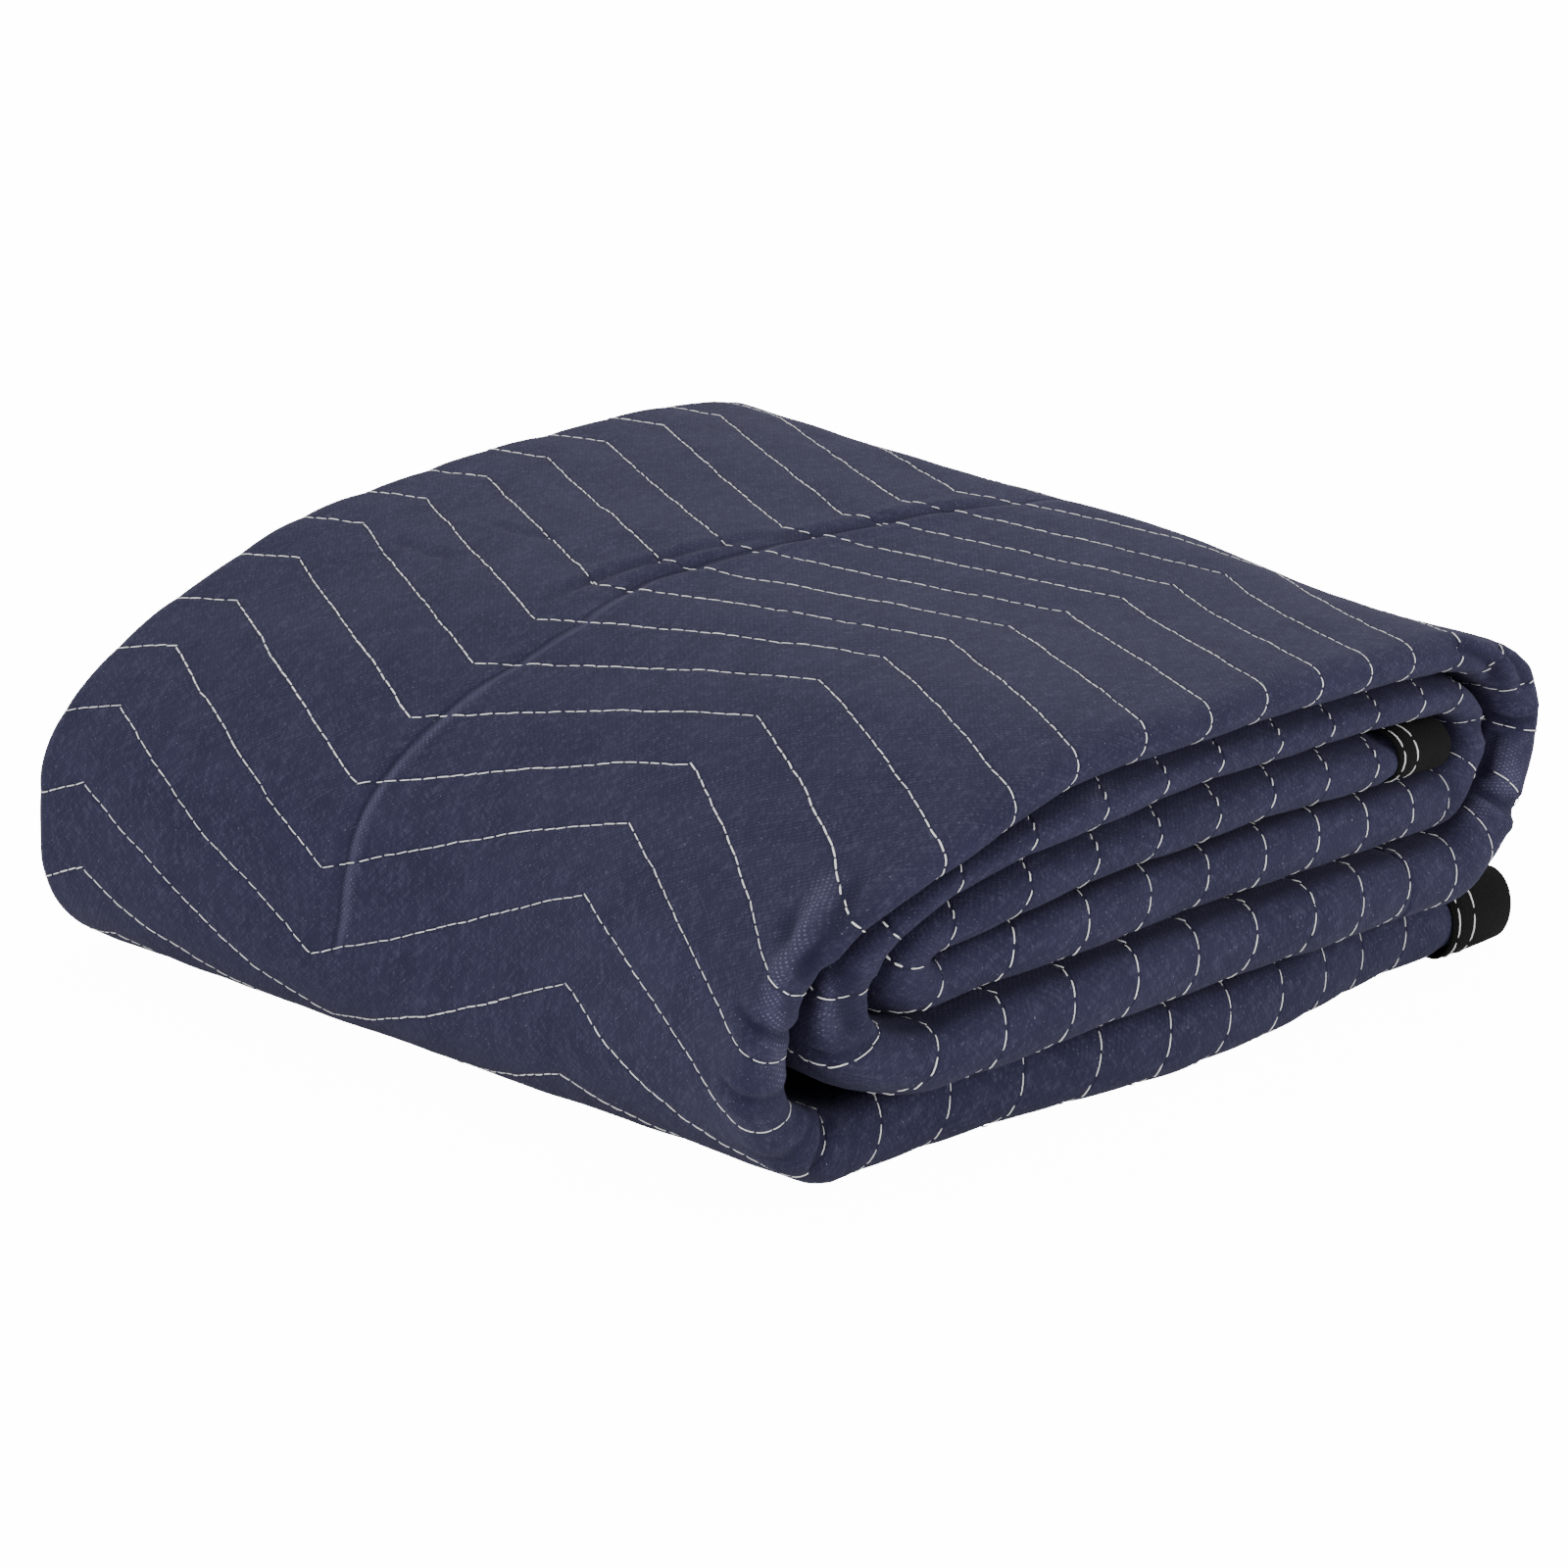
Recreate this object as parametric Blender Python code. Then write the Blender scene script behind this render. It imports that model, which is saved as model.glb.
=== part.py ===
"""A quilted moving blanket, folded for storage.

The blanket's two long edges are folded in to the middle and the blanket is folded
once more along it, which leaves a strip of four plies with one round fold at the
front. The strip is then rolled flat from one end into six layers. Its outer end
lies at the bottom right and its inner end inside the right-hand turn, and a
tape binds both ends.

Metres, +Z up. +X runs along the layered front, the front faces -Y, the blanket
rests on z = 0 and the origin is at the middle of its box's bottom.
"""
import math

import bpy
import numpy as np

# Cloth
PLY = 0.0042                # thickness of one ply of the quilted cloth
PLY_GAP = 0.0005            # air between neighbouring plies of one layer
PLIES = 4
LAYER_GAP = 0.0007          # air between neighbouring layers
LAYERS = 6
EDGE_PLY = 0.0019           # the cloth squeezed flat under a binding

# Folded size
STRIP_DEPTH = 0.3240        # front fold to back folds
LEFT_CENTRE_X = -0.1050     # middle of the left-hand turns
RIGHT_CENTRE_X = 0.1110     # middle of the right-hand turns
OUTER_END_X = 0.1620        # where the strip's outer end lies, at the bottom
INNER_END_X = 0.1125        # where its inner end lies, in the right-hand turn
UPPER_BACK_FOLD_IN = 0.0030  # the upper back fold stops short of the lower one
EDGE_BEHIND_FOLD = 0.0010   # the long edges lie this far behind the front fold's middle

# Binding
TAPE_WIDTH = 0.0300         # on each face of the cloth
TAPE = 0.0007
TAPE_CLEAR = 0.0003         # between the tape and the cloth that it holds
TAPE_ROUND = 0.0008         # how far the folded tape reaches past the cloth's end

# Stations along and across the strip
RUN_STEP = 0.0270
TURN_STEPS = 8
END_STEP = 0.0060
DEPTH_STEPS = 4
FRONT_STEPS = 6
BACK_STEPS = 4

# How the pile has settled, as smooth changes over the whole of it
FRONT_HEIGHT = 0.98         # against the height of flat layers
BACK_HEIGHT = 1.15
HEIGHT_FROM_Y = -0.100
HEIGHT_OVER = 0.250
LEFT_SLUMP = 0.34           # the left-hand turn sags
LEFT_SLUMP_REACH = 0.070
RIGHT_SLUMP = 0.055
RIGHT_SLUMP_REACH = 0.060
LOOSE_FRONT = 0.0135        # the lower layers lie loose and push the upper ones together
LOOSE_BACK = 0.0030
LOOSE_OVER = 0.200
LOOSE_LEFT = 0.45           # the share by which they lie looser still at the left
RIGHT_SKEW = 0.055          # the right end runs back at a slant, per metre of depth
NOSE_FLARE = 0.0220         # the left-hand turn spreads at the front corner
NOSE_FLARE_REACH = 0.035
NOSE_FLARE_OVER = 0.045
HILL_REACH_X = 0.055
HILL_REACH_Y = 0.075
PUSH_REACH_X = 0.080
PUSH_REACH_Y = 0.070
ORIGIN_X = -0.00345
ORIGIN_Y = 0.0

PLY_STEP = PLY + PLY_GAP
LAYER = PLIES * PLY + (PLIES - 1) * PLY_GAP
LAYER_STEP = LAYER + LAYER_GAP
PILE = LAYERS * LAYER + (LAYERS - 1) * LAYER_GAP

# The turns in the order in which the strip makes them, from its outer end. The lower
# and the upper half of a turn are quarter rounds of their own share of its radius.
TURN_COLUMNS = ("side", "radius_in_layers", "lower_share", "upper_share")
TURNS = (
    ("left", 2.5, 0.62, 1.0),
    ("right", 2.0, 1.0, 1.0),
    ("left", 1.5, 1.0, 1.0),
    ("right", 1.0, 1.0, 1.0),
    ("left", 0.5, 1.0, 1.0),
)
# How far the front fold lies behind the foremost one, at lengths along the strip that
# are measured from its outer end
SETBACK_COLUMNS = ("along", "setback")
SETBACKS = (
    (0.00, 0.0170),
    (0.04, 0.0170),
    (0.15, 0.0080),
    (0.28, 0.0220),
    (0.37, 0.0040),
    (0.55, 0.0000),
    (0.93, 0.0010),
    (1.01, 0.0080),
    (1.12, 0.0020),
    (1.30, 0.0040),
    (1.48, 0.0020),
    (1.56, 0.0070),
    (1.64, 0.0030),
    (2.20, 0.0030),
)
# Soft hills and hollows of the pile. Each rise is a share of the height there.
HILL_COLUMNS = ("x", "y", "rise")
HILLS = (
    (-0.165, -0.08, 0.183),
    (-0.165, 0.02, 0.072),
    (-0.165, 0.13, 0.088),
    (-0.100, -0.08, 0.065),
    (-0.100, 0.13, -0.069),
    (-0.030, -0.08, 0.024),
    (-0.030, 0.13, -0.048),
    (0.045, 0.13, -0.020),
    (0.120, -0.08, 0.019),
)
# Where the two turned sides bulge out or stay back, along x
PUSH_COLUMNS = ("x", "y", "push")
PUSHES = (
    (0.165, -0.10, -0.0068),
    (0.165, -0.02, 0.0182),
    (0.165, 0.08, -0.0085),
    (-0.190, -0.12, -0.0038),
    (-0.190, -0.03, 0.0089),
)
SIDE_X = {"left": LEFT_CENTRE_X, "right": RIGHT_CENTRE_X}

NAVY = (0.036, 0.041, 0.105, 1.0)
BLACK = (0.012, 0.012, 0.012, 1.0)


def stations(start, end, step):
    """Evenly spaced places from start to end, about a step apart."""
    count = max(1, round(abs(end - start) / step))
    return np.linspace(start, end, count + 1)


def run(x_from, x_to, z, grid):
    """A straight stretch of the strip's path, with its outward normal."""
    low, high = min(x_from, x_to), max(x_from, x_to)
    inner = [x for x in grid if low + 0.3 * RUN_STEP < x < high - 0.3 * RUN_STEP]
    xs = np.array(sorted([x_from, *inner, x_to], reverse=bool(x_to < x_from)))
    outward = 1.0 if x_to > x_from else -1.0
    flat = np.ones_like(xs)
    return np.stack([xs, z * flat, 0 * flat, outward * flat], 1)


def turn(side, start_z, radius, lower_share, upper_share):
    """A half turn, clockwise from the front: up at the left, down at the right."""
    out = -1.0 if side == "left" else 1.0
    centre_z = start_z - out * radius
    rows = []
    for first, share in ((-90.0, lower_share), (0.0, upper_share)):
        angles = np.radians(np.linspace(first, first + 90.0, TURN_STEPS // 2 + 1))
        c, s = np.cos(angles), np.sin(angles)
        r = share * radius
        level = centre_z + (radius - r) * (-1.0 if first < 0 else 1.0)
        x = SIDE_X[side] + out * (radius - r + r * c)
        rows.append(np.stack([x, level + r * s, out * c, s], 1))
    if np.allclose(rows[0][-1], rows[1][0]):
        rows[0] = rows[0][:-1]
    rows = np.concatenate(rows)
    return rows if side == "left" else rows[::-1]


def setbacks(path):
    """Each station's setback, eased from one layer's value to the next."""
    steps = np.linalg.norm(np.diff(path[:, :2], axis=0), axis=1)
    along = np.concatenate([[0.0], np.cumsum(steps)])
    at, wanted = np.array(SETBACKS).T
    low = np.clip(np.searchsorted(at, along, side="right") - 1, 0, len(at) - 2)
    share = (along - at[low]) / (at[low + 1] - at[low])
    return wanted[low] + (wanted[low + 1] - wanted[low]) * smooth(share)


def strip_path():
    """Rows of x, z, the outward normal's x and z, and the setback along the strip."""
    grid = stations(LEFT_CENTRE_X, RIGHT_CENTRE_X, RUN_STEP)
    z = LAYER / 2
    bound = OUTER_END_X - TAPE_WIDTH
    rows = [run(OUTER_END_X, bound, z, ()), run(bound, bound - END_STEP, z, ())[1:]]
    x = bound - END_STEP
    for side, steps, lower_share, upper_share in TURNS:
        radius = steps * LAYER_STEP
        half = turn(side, z, radius, lower_share, upper_share)
        rows.append(run(x, half[0, 0], z, grid)[1:])
        rows.append(half[1:])
        z += 2 * radius if side == "left" else -2 * radius
        x = half[-1, 0]
    bound = INNER_END_X - TAPE_WIDTH
    rows.append(run(x, bound - END_STEP, z, grid)[1:])
    rows.append(run(bound - END_STEP, bound, z, ())[1:])
    rows.append(run(bound, INNER_END_X, z, ())[1:])
    path = np.concatenate(rows)
    return np.column_stack([path, setbacks(path)])


def strip_section():
    """Rows of y, n and their normal across the strip, from one long edge to the other.

    n is the height over the strip's middle. The cloth's outer face is on the
    normal's side.
    """
    front, back = -STRIP_DEPTH / 2, STRIP_DEPTH / 2
    outer_n = 1.5 * PLY_STEP
    inner_n = 0.5 * PLY_STEP
    roll_y = front + PLY / 2 + outer_n
    lower_y = back - PLY / 2 - inner_n
    upper_y = lower_y - UPPER_BACK_FOLD_IN
    levels = stations(roll_y, lower_y, (back - front) / DEPTH_STEPS)
    flat = levels[1:-1]
    edge = np.array([roll_y + EDGE_BEHIND_FOLD])

    def ply(ys, n, normal):
        ones = np.ones(len(ys))
        return np.stack([ys, n * ones, 0 * ones, normal * ones], 1)

    def fold(centre_y, centre_n, radius, first, last, steps):
        angles = np.radians(np.linspace(first, last, steps + 1))
        c, s = np.cos(angles), np.sin(angles)
        return np.stack([centre_y + radius * c, centre_n + radius * s, c, s], 1)

    half = 0.5 * PLY_STEP
    return np.concatenate([
        ply(np.concatenate([edge, flat]), -inner_n, 1.0),
        fold(lower_y, -inner_n - half, half, 90, -90, BACK_STEPS),
        ply(flat[::-1], -outer_n, -1.0),
        fold(roll_y, 0.0, outer_n, 270, 90, FRONT_STEPS),
        ply(flat, outer_n, 1.0),
        fold(upper_y, outer_n - half, half, 90, -90, BACK_STEPS),
        ply(np.concatenate([flat[::-1], edge]), inner_n, -1.0),
    ])


def smooth(t):
    """0 below 0, 1 above 1 and an even S between them."""
    t = np.clip(t, 0.0, 1.0)
    return t * t * (3 - 2 * t)


def bumps(rows, reach_x, reach_y, x, y):
    """The sum of soft round bumps, one for each row of middle x, middle y and height."""
    total = 0.0
    for middle_x, middle_y, high in rows:
        off_x, off_y = (x - middle_x) / reach_x, (y - middle_y) / reach_y
        total = total + high * np.exp(-off_x ** 2 - off_y ** 2)
    return total


def settle(points):
    """The pile's slumps and leans. What lies on z = 0 stays there."""
    x, y, z = points[:, 0], points[:, 1], points[:, 2]
    behind = y + STRIP_DEPTH / 2
    loose = LOOSE_FRONT + (LOOSE_BACK - LOOSE_FRONT) * smooth(behind / LOOSE_OVER)
    left_x = LEFT_CENTRE_X - 2.5 * LAYER_STEP - LAYER / 2
    right_x = RIGHT_CENTRE_X + 2.0 * LAYER_STEP + LAYER / 2
    left = np.exp(-((x - left_x) / LEFT_SLUMP_REACH) ** 2)
    right = np.exp(-((x - right_x) / RIGHT_SLUMP_REACH) ** 2)
    new_z = z + loose * (1 + LOOSE_LEFT * left) * np.sin(np.pi * np.clip(z / PILE, 0.0, 1.0))
    height = FRONT_HEIGHT + (BACK_HEIGHT - FRONT_HEIGHT) * smooth((y - HEIGHT_FROM_Y) / HEIGHT_OVER)
    height *= (1 - LEFT_SLUMP * left) * (1 - RIGHT_SLUMP * right)
    height *= 1 + bumps(HILLS, HILL_REACH_X, HILL_REACH_Y, x, y)
    flare = np.exp(-behind / NOSE_FLARE_REACH) * smooth((LEFT_CENTRE_X - x) / NOSE_FLARE_OVER)
    flare *= smooth(z / (2 * LAYER_STEP))
    push = bumps(PUSHES, PUSH_REACH_X, PUSH_REACH_Y, x, y)
    push *= smooth((z - LAYER) / (2 * LAYER_STEP))
    far_right = smooth((x - 0.02) / 0.10)
    new_x = x + push - NOSE_FLARE * flare + RIGHT_SKEW * y * far_right
    return np.stack([new_x - ORIGIN_X, y - ORIGIN_Y, new_z * height], 1)


def place(path, section, offset):
    """Points of a path by section grid, each lifted by offset along the section's normal."""
    y = section[None, :, 0] + offset * section[None, :, 2]
    n = section[None, :, 1] + offset * section[None, :, 3]
    x = path[:, None, 0] + n * path[:, None, 2]
    z = path[:, None, 1] + n * path[:, None, 3]
    y = y + path[:, None, 4] * (0.5 - y / STRIP_DEPTH)
    return settle(np.stack([x.ravel(), y.ravel(), z.ravel()], 1))


def grid_faces(rows, columns, start, closed_rows=False):
    """Quads between neighbouring rows of points."""
    faces = []
    last = rows if closed_rows else rows - 1
    for r in range(last):
        for c in range(columns - 1):
            a = start + r * columns + c
            b = start + ((r + 1) % rows) * columns + c
            faces.append((a, b, b + 1, a + 1))
    return faces


def rim(first, second):
    """Quads that join two equal chains of points."""
    pairs = zip(first[:-1], first[1:], second[:-1], second[1:])
    return [(a, c, d, b) for a, b, c, d in pairs]


def material(name, colour, roughness):
    made = bpy.data.materials.new(name)
    made.use_nodes = True
    shader = made.node_tree.nodes["Principled BSDF"]
    shader.inputs["Base Color"].default_value = colour
    shader.inputs["Roughness"].default_value = roughness
    shader.inputs["Metallic"].default_value = 0.0
    return made


def add_object(name, points, faces, finish):
    mesh = bpy.data.meshes.new(name)
    mesh.from_pydata(points.tolist(), [], faces)
    mesh.materials.append(finish)
    mesh.shade_smooth()
    mesh.set_sharp_from_angle(angle=math.radians(40))
    made = bpy.data.objects.new(name, mesh)
    bpy.context.scene.collection.objects.link(made)
    return made


def blanket(finish):
    """The whole quilted sheet, as one closed solid."""
    path, section = strip_path(), strip_section()
    squeezed = np.full(len(path), PLY / 2)
    squeezed[:2] = EDGE_PLY / 2
    squeezed[-2:] = EDGE_PLY / 2
    outer = place(path, section, squeezed[:, None])
    inner = place(path, section, -squeezed[:, None])
    rows, columns = len(path), len(section)
    count = rows * columns
    faces = grid_faces(rows, columns, 0)
    faces += [f[::-1] for f in grid_faces(rows, columns, count)]
    left = [r * columns for r in range(rows)]
    right = [r * columns + columns - 1 for r in range(rows)]
    first = list(range(columns))
    last = [(rows - 1) * columns + c for c in range(columns)]

    def under(chain):
        return [i + count for i in chain]

    faces += rim(left, under(left))
    faces += rim(under(right), right)
    faces += rim(under(first), first)
    faces += rim(last, under(last))
    return add_object("blanket", np.concatenate([outer, inner]), faces, finish)


def binding(name, end, finish):
    """A tape folded over one end of the sheet, which follows its plies and folds."""
    inner = EDGE_PLY / 2 + TAPE_CLEAR
    outer = inner + TAPE
    inside, outside = TAPE_CLEAR, TAPE_CLEAR + TAPE_ROUND
    width = TAPE_WIDTH - 0.0015
    around = (
        (-width, outer), (inside, outer), (outside, outer / 2), (outside, -outer / 2),
        (inside, -outer), (-width, -outer), (-width, -inner), (0.0, -inner),
        (inside, -inner / 2), (inside, inner / 2), (0.0, inner), (-width, inner),
    )
    path, section = strip_path(), strip_section()
    tip = path[0] if end == "outer" else path[-1]
    chains = []
    for reach, offset in around:
        station = tip.copy()
        station[0] += reach
        chains.append(place(station[None, :], section, offset))
    columns = len(section)
    faces = grid_faces(len(around), columns, 0, closed_rows=True)
    start = [k * columns for k in range(len(around))]
    stop = [k * columns + columns - 1 for k in range(len(around))]
    half = len(around) // 2
    for chain, forwards in ((start, False), (stop, True)):
        for k in range(half - 1):
            quad = (chain[k], chain[k + 1], chain[-k - 2], chain[-k - 1])
            faces.append(quad if forwards else quad[::-1])
    if end == "outer":
        faces = [f[::-1] for f in faces]
    return add_object(name, np.concatenate(chains), faces, finish)


def main():
    for old in list(bpy.data.objects):
        bpy.data.objects.remove(old, do_unlink=True)
    cloth = material("navy_quilted_cloth", NAVY, 0.9)
    tape = material("black_binding", BLACK, 0.85)
    made = [
        blanket(cloth),
        binding("binding_outer", "outer", tape),
        binding("binding_inner", "inner", tape),
    ]
    for piece in made:
        low = np.min([v.co for v in piece.data.vertices], axis=0)
        high = np.max([v.co for v in piece.data.vertices], axis=0)
        print(piece.name, len(piece.data.polygons), "faces", low.round(4), high.round(4))


main()
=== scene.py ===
# %% [markdown]
# # A folded moving blanket
#
# The real thing is one quilted sheet: two faces of felted navy cloth with a filling
# between them, sewn through in rows of white zigzag, and bound in black tape. It lies
# folded: first across its width into a strip, then rolled flat along its length.
#
# A folded sheet could be simulated, but six layers of quilted cloth rarely settle into
# the folds that a photo shows. Here the sheet is drawn flat instead, and one function
# says where each place of the flat sheet lies once it is folded. Cloth, seams, thread
# and binding all pass through that function, so they always fit each other.

# %% Load the fixed frame
import math

import bmesh
import bpy
import numpy as np
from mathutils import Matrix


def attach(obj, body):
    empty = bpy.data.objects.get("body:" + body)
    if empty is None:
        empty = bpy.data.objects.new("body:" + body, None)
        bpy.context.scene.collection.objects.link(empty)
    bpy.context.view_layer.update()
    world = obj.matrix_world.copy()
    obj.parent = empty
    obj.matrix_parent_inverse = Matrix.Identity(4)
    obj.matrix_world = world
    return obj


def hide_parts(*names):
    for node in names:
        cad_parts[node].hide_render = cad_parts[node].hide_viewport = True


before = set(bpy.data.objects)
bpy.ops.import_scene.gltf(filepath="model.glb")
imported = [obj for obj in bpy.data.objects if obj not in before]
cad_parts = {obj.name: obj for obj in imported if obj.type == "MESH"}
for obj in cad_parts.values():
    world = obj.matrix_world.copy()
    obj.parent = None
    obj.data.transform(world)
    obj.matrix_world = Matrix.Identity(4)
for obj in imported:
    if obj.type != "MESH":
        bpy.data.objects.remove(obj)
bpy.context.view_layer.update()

# %% [markdown]
# ## The sizes of the fold
#
# These repeat the driving sizes of the solids. The seams are one inch apart, and most
# other measures are easiest to read against that.

# %% Sizes in metres
PITCH = 0.0254
PLY = 0.0042
PLY_GAP = 0.0005
LAYER_GAP = 0.0007
PLY_STEP = PLY + PLY_GAP
LAYER = 4 * PLY + 3 * PLY_GAP
LAYER_STEP = LAYER + LAYER_GAP
LAYERS = 6
PILE = LAYERS * LAYER_STEP - LAYER_GAP
EDGE_PLY = 0.0019
STRIP_DEPTH = 0.3240
FRONT, BACK = -STRIP_DEPTH / 2, STRIP_DEPTH / 2
SIDE_X = {"left": -0.1050, "right": 0.1110}
OUTER_END_X = 0.1620
INNER_END_X = 0.1125
ORIGIN_X = -0.00345
TAPE_WIDTH = 0.0300
TURN_COLUMNS = ("side", "radius_in_layers", "lower_share", "upper_share")
TURNS = (
    ("left", 2.5, 0.62, 1.0),
    ("right", 2.0, 1.0, 1.0),
    ("left", 1.5, 1.0, 1.0),
    ("right", 1.0, 1.0, 1.0),
    ("left", 0.5, 1.0, 1.0),
)
SETBACK_COLUMNS = ("along", "setback")
SETBACKS = (
    (0.00, 0.0170),
    (0.04, 0.0170),
    (0.15, 0.0080),
    (0.28, 0.0220),
    (0.37, 0.0040),
    (0.55, 0.0000),
    (0.93, 0.0010),
    (1.01, 0.0080),
    (1.12, 0.0020),
    (1.30, 0.0040),
    (1.48, 0.0020),
    (1.56, 0.0070),
    (1.64, 0.0030),
    (2.20, 0.0030),
)
HILL_COLUMNS = ("x", "y", "rise")
HILLS = (
    (-0.165, -0.08, 0.183),
    (-0.165, 0.02, 0.072),
    (-0.165, 0.13, 0.088),
    (-0.100, -0.08, 0.065),
    (-0.100, 0.13, -0.069),
    (-0.030, -0.08, 0.024),
    (-0.030, 0.13, -0.048),
    (0.045, 0.13, -0.020),
    (0.120, -0.08, 0.019),
)
PUSH_COLUMNS = ("x", "y", "push")
PUSHES = (
    (0.165, -0.10, -0.0068),
    (0.165, -0.02, 0.0182),
    (0.165, 0.08, -0.0085),
    (-0.190, -0.12, -0.0038),
    (-0.190, -0.03, 0.0089),
)
print("pile of flat layers", round(PILE * 1000, 1), "mm")


# %% [markdown]
# ## The strip's path, seen from the front
#
# The strip runs left along the floor, turns up, runs right along the top and so on
# inwards, five half turns in all. A half turn is two quarter rounds. Points half a
# millimetre apart make a line that np.interp can read at any length along it.

# %% The strip's path
FINE = 0.0005


def smooth(t):
    """0 below 0, 1 above 1 and an even S between them."""
    t = np.clip(t, 0.0, 1.0)
    return t * t * (3 - 2 * t)


def straight(start, end):
    """Points from start to end, both (a, b), and the direction to their left."""
    start, end = np.array(start), np.array(end)
    gap = end - start
    long = np.linalg.norm(gap)
    share = np.linspace(0.0, 1.0, max(2, int(long / FINE)))[:, None]
    points = start + share * gap
    normal = np.array([-gap[1], gap[0]]) / long
    return np.hstack([points, np.broadcast_to(normal, points.shape)])


def arc(centre, radius, first, last):
    """Points round centre, and the direction away from it."""
    count = max(6, int(radius * abs(math.radians(last - first)) / FINE))
    angles = np.radians(np.linspace(first, last, count))
    way = np.stack([np.cos(angles), np.sin(angles)], 1)
    return np.hstack([np.array(centre) + radius * way, way])


def measured(rows):
    """The rows behind one another, with the length along them in front."""
    rows = np.concatenate(rows)
    steps = np.linalg.norm(np.diff(rows[:, :2], axis=0), axis=1)
    keep = np.concatenate([[True], steps > 1e-7])
    rows = rows[keep]
    steps = np.linalg.norm(np.diff(rows[:, :2], axis=0), axis=1)
    return np.column_stack([np.concatenate([[0.0], np.cumsum(steps)]), rows])


def strip_path():
    z, x = LAYER / 2, OUTER_END_X
    rows = []
    for side, steps, lower, upper in TURNS:
        radius = steps * LAYER_STEP
        out = -1.0 if side == "left" else 1.0
        next_z = z - out * 2 * radius
        middle_z = (z + next_z) / 2
        low = (SIDE_X[side] + out * (1 - lower) * radius, middle_z - (1 - lower) * radius)
        high = (SIDE_X[side] + out * (1 - upper) * radius, middle_z + (1 - upper) * radius)
        first, last = (low, lower), (high, upper)
        angles = (270.0, 180.0, 90.0) if side == "left" else (90.0, 0.0, -90.0)
        if side == "right":
            first, last = last, first
        rows.append(straight((x, z), (first[0][0], z)))
        rows.append(arc(first[0], first[1] * radius, angles[0], angles[1]))
        rows.append(arc(last[0], last[1] * radius, angles[1], angles[2]))
        z, x = next_z, last[0][0]
    rows.append(straight((x, z), (INNER_END_X, z)))
    return measured(rows)


PATH = strip_path()
LENGTH = PATH[-1, 0]
for row in (0, -1):
    print("path end", PATH[row].round(4))

# %% [markdown]
# ## The strip's section, seen from its end
#
# Both long edges are folded in to the middle and the sheet is folded again along it.
# So the section starts at one hidden edge, goes round a back fold to the outer ply,
# round the single front fold, and back the same way.

# %% The strip's section
OUTER_N, INNER_N, HALF_STEP = 1.5 * PLY_STEP, 0.5 * PLY_STEP, 0.5 * PLY_STEP
ROLL_Y = FRONT + PLY / 2 + OUTER_N
LOWER_Y = BACK - PLY / 2 - INNER_N
UPPER_BACK_FOLD_IN = 0.0030
EDGE_BEHIND_FOLD = 0.0010
UPPER_Y = LOWER_Y - UPPER_BACK_FOLD_IN
EDGE_Y = ROLL_Y + EDGE_BEHIND_FOLD


def strip_section():
    return measured([
        straight((EDGE_Y, -INNER_N), (LOWER_Y, -INNER_N)),
        arc((LOWER_Y, -INNER_N - HALF_STEP), HALF_STEP, 90, -90),
        straight((LOWER_Y, -OUTER_N), (ROLL_Y, -OUTER_N)),
        arc((ROLL_Y, 0.0), OUTER_N, 270, 90),
        straight((ROLL_Y, OUTER_N), (UPPER_Y, OUTER_N)),
        arc((UPPER_Y, OUTER_N - HALF_STEP), HALF_STEP, 90, -90),
        straight((UPPER_Y, INNER_N), (EDGE_Y, INNER_N)),
    ])


SECTION = strip_section()
WIDTH = SECTION[-1, 0]
FOLD_ARC = math.pi * HALF_STEP
LOW_FOLD_T = LOWER_Y - EDGE_Y
ROLL_START_T = LOW_FOLD_T + FOLD_ARC + (LOWER_Y - ROLL_Y)
ROLL_END_T = ROLL_START_T + math.pi * OUTER_N
HIGH_FOLD_T = ROLL_END_T + (UPPER_Y - ROLL_Y)
print("strip", round(LENGTH, 4), "by", round(WIDTH, 4), "m; front fold from",
      round(ROLL_START_T, 4), "to", round(ROLL_END_T, 4))

# %% [markdown]
# ## How the pile has settled
#
# Neat geometry looks stiff. The real pile stands higher at the back, sags at the big
# left turn, lies looser in its lower layers and spreads at the near corner. These are
# smooth changes of the whole space, so layers can't cut each other, and the height
# only ever gets multiplied, so what lies on the floor stays there.

# %% Slumps and leans
LEFT_X = SIDE_X["left"] - 2.5 * LAYER_STEP - LAYER / 2
RIGHT_X = SIDE_X["right"] + 2.0 * LAYER_STEP + LAYER / 2
LEFT_SLUMP, LEFT_SLUMP_REACH = 0.34, 0.070
RIGHT_SLUMP, RIGHT_SLUMP_REACH = 0.055, 0.060
FRONT_HEIGHT, BACK_HEIGHT = 0.98, 1.15
HEIGHT_FROM_Y, HEIGHT_OVER = -0.100, 0.250
LOOSE_FRONT, LOOSE_BACK, LOOSE_OVER, LOOSE_LEFT = 0.0135, 0.0030, 0.200, 0.45
NOSE_FLARE, NOSE_FLARE_REACH, NOSE_FLARE_OVER = 0.0220, 0.035, 0.045
RIGHT_SKEW, SKEW_FROM_X, SKEW_OVER = 0.055, 0.020, 0.100
HILL_REACH = (0.055, 0.075)
PUSH_REACH = (0.080, 0.070)


def bumps(rows, reach, x, y):
    """The sum of soft round bumps, one for each row of middle x, middle y and height."""
    total = 0.0
    for middle_x, middle_y, high in rows:
        off_x, off_y = (x - middle_x) / reach[0], (y - middle_y) / reach[1]
        total = total + high * np.exp(-off_x ** 2 - off_y ** 2)
    return total


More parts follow.
